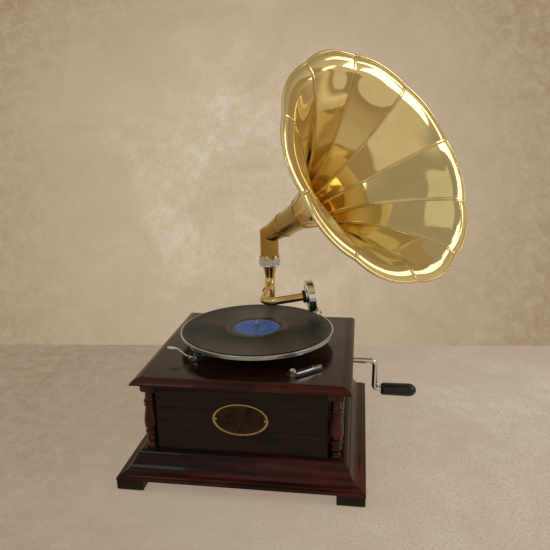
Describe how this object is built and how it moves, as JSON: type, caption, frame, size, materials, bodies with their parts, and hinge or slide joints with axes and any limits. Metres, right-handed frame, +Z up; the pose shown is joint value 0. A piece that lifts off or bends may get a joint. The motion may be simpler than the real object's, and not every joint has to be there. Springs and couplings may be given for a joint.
{
  "type": "horn gramophone",
  "caption": "Wind-up horn gramophone: a square moulded wooden case with a spring motor, turntable, swinging tone arm and a large brass petal horn.",
  "frame": {"origin": "on the floor, in the middle of the bounding box's footprint", "axes": "+X to the object's right (crank side), +Y to its back, +Z up"},
  "size_m": [0.5225, 0.368, 0.633],
  "materials": {
    "dark_wood": "satin",
    "mahogany": "gloss",
    "polished_brass": "polished",
    "dark_brass": "satin",
    "gear_brass": "satin",
    "chrome": "polished",
    "steel": "satin",
    "rim_metal": "satin",
    "mat_felt": "matte",
    "record_black": "gloss",
    "label_paper": "matte",
    "grip_black": "gloss",
    "rubber": "matte",
    "leather_pad": "matte",
    "mica": "satin",
    "plate_bronze": "satin",
    "iron_plate": "satin"
  },
  "bodies": {
    "case": {"feet": "dark_wood", "plinth_moulding": "mahogany", "bottom_board": "dark_wood", "case_panels": "dark_wood", "corner_posts": "dark_wood", "corner_columns": "mahogany", "motor_board": "dark_wood", "lid_moulding": "mahogany", "front_plate": "plate_bronze", "screws": "steel", "crank_bush": "gear_brass", "motor_top_plate": "steel", "motor_low_plate": "steel", "motor_pillars": "steel", "motor_mounts": "rubber", "brake_base": "steel", "brake_spring": "steel", "speed_plate": "iron_plate", "back_bracket": "polished_brass", "collar": "chrome", "arm_retainer": "chrome"},
    "turntable": {"platter": "rim_metal", "platter_mat": "mat_felt", "turntable_spindle": "steel", "worm_wheel": "gear_brass", "record": "record_black", "record_label": "label_paper"},
    "transfer": {"transfer_gear": "gear_brass"},
    "barrel": {"spring_barrel": "gear_brass", "barrel_lid": "gear_brass", "mainspring": "steel"},
    "arbor": {"barrel_arbor": "steel", "crown_wheel": "gear_brass"},
    "governor": {"governor_shaft": "steel", "governor_weights": "gear_brass"},
    "regulator_arm": {"governor_arm": "steel"},
    "pawl": {"click": "steel"},
    "crank": {"crank_rod": "chrome", "winding_shaft": "steel"},
    "grip": {"crank_grip": "grip_black"},
    "horn": {"elbow": "dark_brass", "horn_neck": "polished_brass", "horn_petals": "polished_brass", "horn_seams": "polished_brass", "horn_rim": "polished_brass"},
    "arm": {"tone_arm": "polished_brass"},
    "neck": {"gooseneck": "polished_brass", "box_hub": "rubber", "box_back": "chrome", "box_gaskets": "rubber", "diaphragm": "mica", "box_ring": "chrome", "ring_screws": "chrome"},
    "stylus": {"stylus_bar": "chrome", "needle": "steel"},
    "thumb_screw": {"needle_screw": "chrome"},
    "brake": {"brake_lever": "chrome", "brake_pad": "leather_pad"},
    "regulator": {"speed_lever": "chrome"}
  },
  "joints": [
    {"name": "turntable_spin", "type": "hinge", "parent": "case", "child": "turntable", "pos_m": [-0.07785, 0.008, 0.176], "axis": [0, 0, -1], "continuous": true},
    {"name": "transfer_spin", "type": "hinge", "parent": "case", "child": "transfer", "pos_m": [-0.04614, 0.02803, 0.068], "axis": [0, 0, -1], "continuous": true},
    {"name": "barrel_spin", "type": "hinge", "parent": "case", "child": "barrel", "pos_m": [-0.00585, 0.008, 0.1], "axis": [0, 0, -1], "continuous": true},
    {"name": "arbor_spin", "type": "hinge", "parent": "case", "child": "arbor", "pos_m": [-0.00585, 0.008, 0.135], "axis": [0, 0, -1], "continuous": true},
    {"name": "governor_spin", "type": "hinge", "parent": "case", "child": "governor", "pos_m": [-0.09745, 0.008, 0.1035], "axis": [0, -1, 0], "continuous": true},
    {"name": "regulator_arm_turn", "type": "hinge", "parent": "case", "child": "regulator_arm", "pos_m": [-0.04785, -0.097, 0.142], "axis": [0, 0, 1], "range_deg": [-1, 1]},
    {"name": "pawl_turn", "type": "hinge", "parent": "case", "child": "pawl", "pos_m": [-0.00985, -0.018, 0.123], "axis": [0, 0, 1], "range_deg": [-4, 4]},
    {"name": "crank_turn", "type": "hinge", "parent": "case", "child": "crank", "pos_m": [0.06715, 0.008, 0.1447], "axis": [1, 0, 0], "continuous": true},
    {"name": "grip_turn", "type": "hinge", "parent": "crank", "child": "grip", "pos_m": [0.15715, 0.02327, 0.08771], "axis": [1, 0, 0], "continuous": true},
    {"name": "horn_turn", "type": "hinge", "parent": "case", "child": "horn", "pos_m": [-0.07785, 0.157, 0.28], "axis": [0, 0, 1], "range_deg": [-90, 90]},
    {"name": "arm_swing", "type": "hinge", "parent": "case", "child": "arm", "pos_m": [-0.07785, 0.157, 0.27], "axis": [0, 0, 1], "range_deg": [-24, 30]},
    {"name": "neck_lift", "type": "hinge", "parent": "arm", "child": "neck", "pos_m": [-0.07785, 0.125, 0.2245], "axis": [0, -1, 0], "range_deg": [0, 100]},
    {"name": "stylus_rock", "type": "hinge", "parent": "neck", "child": "stylus", "pos_m": [0.01822, 0.06238, 0.21164], "axis": [-0.1661, 0.8794, -0.4462], "range_deg": [-1.2, 1.2], "stiffness_Nm_per_rad": 0.02},
    {"name": "thumb_screw_turn", "type": "hinge", "parent": "stylus", "child": "thumb_screw", "pos_m": [0.02303, 0.0615, 0.20812], "axis": [0.9631, 0.2419, 0.1182], "continuous": true},
    {"name": "brake_swing", "type": "hinge", "parent": "case", "child": "brake", "pos_m": [-0.16046, -0.07924, 0.175], "axis": [0, 0, 1], "range_deg": [-4, 6]},
    {"name": "regulator_turn", "type": "hinge", "parent": "case", "child": "regulator", "pos_m": [-0.00385, -0.12101, 0.175], "axis": [0, 0, 1], "range_deg": [-12, 12]}
  ],
  "couplings": [
    {"joint": "transfer_spin", "follows": "turntable_spin", "ratio": -0.25},
    {"joint": "barrel_spin", "follows": "turntable_spin", "ratio": 0.05},
    {"joint": "governor_spin", "follows": "turntable_spin", "ratio": 30},
    {"joint": "arbor_spin", "follows": "crank_turn", "ratio": -0.33333},
    {"joint": "regulator_arm_turn", "follows": "regulator_turn", "ratio": 0.04}
  ]
}
